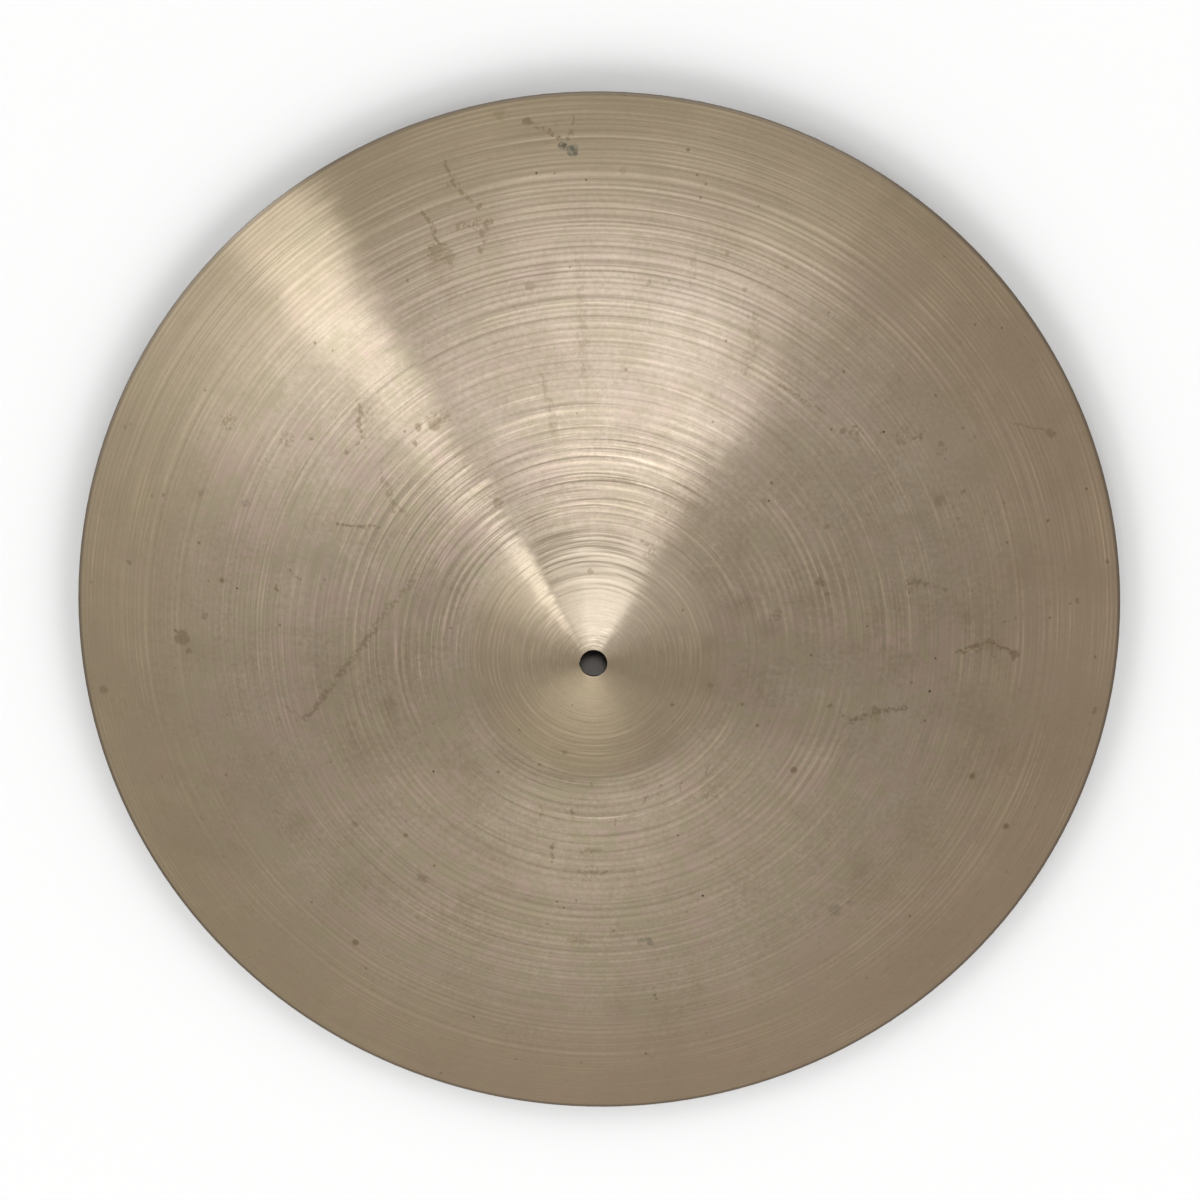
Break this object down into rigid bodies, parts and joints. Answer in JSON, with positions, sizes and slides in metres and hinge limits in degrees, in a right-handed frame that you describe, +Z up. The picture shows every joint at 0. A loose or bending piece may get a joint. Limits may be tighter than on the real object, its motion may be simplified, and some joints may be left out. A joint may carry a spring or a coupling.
{
  "type": "crash cymbal",
  "caption": "Round bronze crash cymbal: a shallow convex bow thinning to a worn rim, a low domed bell and a plain central mounting hole.",
  "frame": {"origin": "on the axis of the hole, in the plane that the rim rests on when the cymbal lies bell upwards", "axes": "+Z up through the bell, away from the plane of the rim; X and Y are any two square directions in that plane"},
  "size_m": [0.457, 0.457, 0.0349],
  "materials": {
    "bronze": "turned, with fine concentric grooves, dulled by light tarnish and spots"
  },
  "bodies": {
    "root": {"cymbal": "bronze"}
  },
  "joints": []
}
